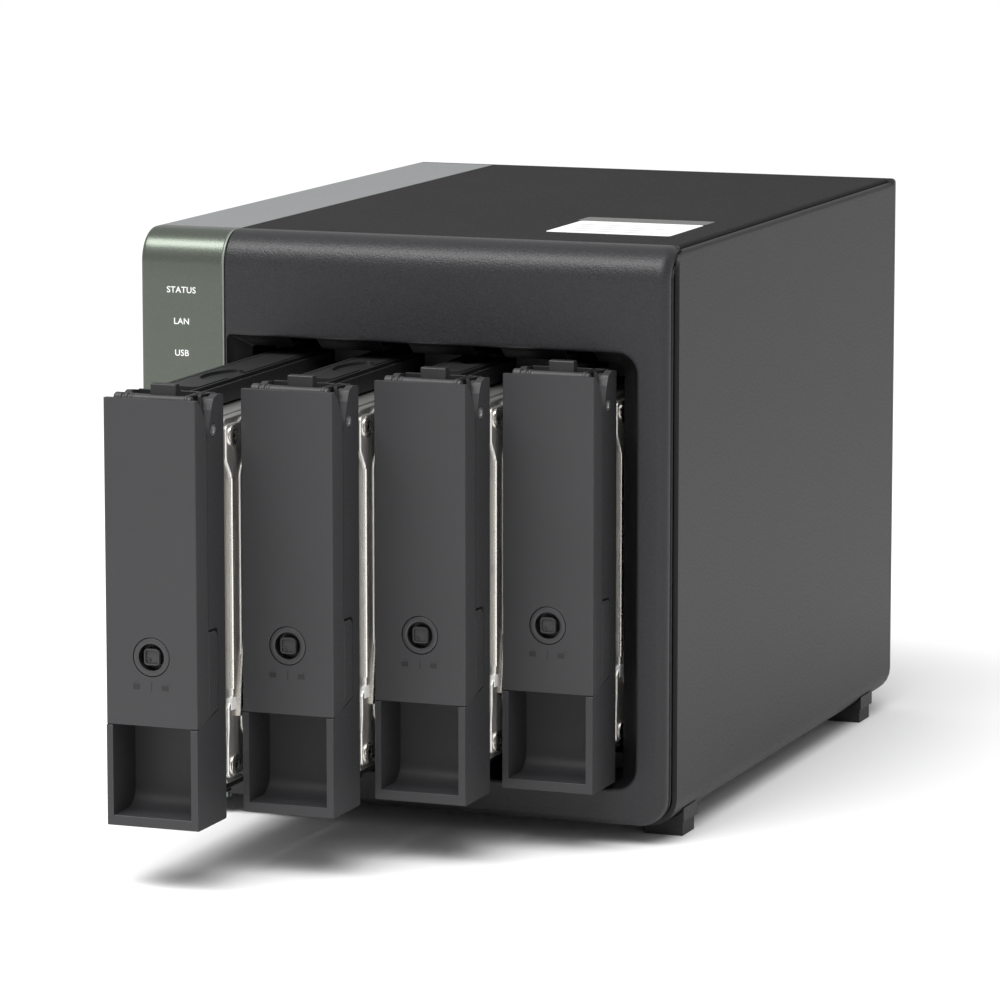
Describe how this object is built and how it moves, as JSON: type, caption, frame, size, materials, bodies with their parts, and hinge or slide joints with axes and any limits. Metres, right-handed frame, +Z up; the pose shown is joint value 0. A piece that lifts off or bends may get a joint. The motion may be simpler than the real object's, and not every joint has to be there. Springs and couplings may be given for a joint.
{
  "type": "network attached storage",
  "caption": "Upright desktop storage cabinet with a bay of drive trays that slide out in front, hinged tray handles with round locks, side strip with buttons, and a rear fan.",
  "frame": {"origin": "bottom centre of the box round the whole object, with the trays pulled out as stored", "axes": "front with the trays faces -Y, right side is +X, +Z up"},
  "size_m": [0.16, 0.3182, 0.1685],
  "materials": {
    "green_strip": "satin metallic",
    "grey_strip": "glossy",
    "side_cover": "smooth satin",
    "top_cover": "fine texture",
    "bezel": "leather grain",
    "tray": "fine matte",
    "lock": "matte",
    "drive": "cast and polished",
    "steel": "polished",
    "cage": "matte",
    "rear_steel": "satin",
    "board": "solder mask",
    "black_plastic": "moulded",
    "heat_sink": "anodised",
    "foot": "matte",
    "light_pipe": "clear"
  },
  "bodies": {
    "cabinet": {"left_cover": "grey_strip", "right_cover": "side_cover", "top_cover": "top_cover", "front_bezel": "bezel", "indicator_strip": "green_strip", "light_pipe": "light_pipe", "front_usb_port": "steel", "rear_panel": "rear_steel", "lan_ports": "steel", "rear_usb_ports": "steel", "power_jack": "black_plastic", "base_pan": "rear_steel", "foot_1": "foot", "foot_2": "foot", "foot_3": "foot", "foot_4": "foot", "drive_cage": "cage", "backplane_board": "board", "sata_socket_1": "black_plastic", "sata_socket_2": "black_plastic", "sata_socket_3": "black_plastic", "sata_socket_4": "black_plastic", "main_board": "board", "heat_sink": "heat_sink", "memory_module": "board", "coin_cell": "steel", "fan_frame": "black_plastic", "fan_guard": "steel"},
    "tray_1": {"tray_frame_1": "tray", "handle_pin_1": "steel", "drive_1": "drive", "upper_clip_1": "tray", "lower_clip_1": "tray"},
    "handle_1": {"handle_1": "tray"},
    "lock_1": {"lock_1": "lock"},
    "tray_2": {"tray_frame_2": "tray", "handle_pin_2": "steel", "drive_2": "drive", "upper_clip_2": "tray", "lower_clip_2": "tray"},
    "handle_2": {"handle_2": "tray"},
    "lock_2": {"lock_2": "lock"},
    "tray_3": {"tray_frame_3": "tray", "handle_pin_3": "steel", "drive_3": "drive", "upper_clip_3": "tray", "lower_clip_3": "tray"},
    "handle_3": {"handle_3": "tray"},
    "lock_3": {"lock_3": "lock"},
    "tray_4": {"tray_frame_4": "tray", "handle_pin_4": "steel", "drive_4": "drive", "upper_clip_4": "tray", "lower_clip_4": "tray"},
    "handle_4": {"handle_4": "tray"},
    "lock_4": {"lock_4": "lock"},
    "power_button": {"power_button": "green_strip"},
    "copy_button": {"copy_button": "green_strip"},
    "reset_button": {"reset_button": "black_plastic"},
    "fan_rotor": {"fan_rotor": "black_plastic"}
  },
  "joints": [
    {"name": "tray_1_slide", "type": "slide", "parent": "cabinet", "child": "tray_1", "axis": [0, -1, 0], "range_m": [-0.1006, 0.0209]},
    {"name": "handle_1_hinge", "type": "hinge", "parent": "tray_1", "child": "handle_1", "pos_m": [-0.03324, -0.14665, 0.1252], "axis": [-1, 0, 0], "range_deg": [0, 40]},
    {"name": "lock_1_turn", "type": "hinge", "parent": "handle_1", "child": "lock_1", "pos_m": [-0.03324, -0.15905, 0.0646], "axis": [0, 1, 0], "range_deg": [0, 90]},
    {"name": "tray_2_slide", "type": "slide", "parent": "cabinet", "child": "tray_2", "axis": [0, -1, 0], "range_m": [-0.0724, 0.0491]},
    {"name": "handle_2_hinge", "type": "hinge", "parent": "tray_2", "child": "handle_2", "pos_m": [-0.00545, -0.11845, 0.1252], "axis": [-1, 0, 0], "range_deg": [0, 40]},
    {"name": "lock_2_turn", "type": "hinge", "parent": "handle_2", "child": "lock_2", "pos_m": [-0.00545, -0.13085, 0.0646], "axis": [0, 1, 0], "range_deg": [0, 90]},
    {"name": "tray_3_slide", "type": "slide", "parent": "cabinet", "child": "tray_3", "axis": [0, -1, 0], "range_m": [-0.0449, 0.0766]},
    {"name": "handle_3_hinge", "type": "hinge", "parent": "tray_3", "child": "handle_3", "pos_m": [0.02233, -0.09095, 0.1252], "axis": [-1, 0, 0], "range_deg": [0, 40]},
    {"name": "lock_3_turn", "type": "hinge", "parent": "handle_3", "child": "lock_3", "pos_m": [0.02233, -0.10335, 0.0646], "axis": [0, 1, 0], "range_deg": [0, 90]},
    {"name": "tray_4_slide", "type": "slide", "parent": "cabinet", "child": "tray_4", "axis": [0, -1, 0], "range_m": [-0.0188, 0.1027]},
    {"name": "handle_4_hinge", "type": "hinge", "parent": "tray_4", "child": "handle_4", "pos_m": [0.0501, -0.06485, 0.1252], "axis": [-1, 0, 0], "range_deg": [0, 40]},
    {"name": "lock_4_turn", "type": "hinge", "parent": "handle_4", "child": "lock_4", "pos_m": [0.0501, -0.07725, 0.0646], "axis": [0, 1, 0], "range_deg": [0, 90]},
    {"name": "power_button_press", "type": "slide", "parent": "cabinet", "child": "power_button", "axis": [0, 1, 0], "range_m": [0, 0.001], "stiffness_N_per_m": 600, "springref_m": -0.0003},
    {"name": "copy_button_press", "type": "slide", "parent": "cabinet", "child": "copy_button", "axis": [0, 1, 0], "range_m": [0, 0.001], "stiffness_N_per_m": 600, "springref_m": -0.0003},
    {"name": "reset_button_press", "type": "slide", "parent": "cabinet", "child": "reset_button", "axis": [0, -1, 0], "range_m": [0, 0.001], "stiffness_N_per_m": 600, "springref_m": -0.0003},
    {"name": "fan_spin", "type": "hinge", "parent": "cabinet", "child": "fan_rotor", "pos_m": [0.016, 0.14295, 0.08665], "axis": [0, 1, 0], "continuous": true}
  ]
}
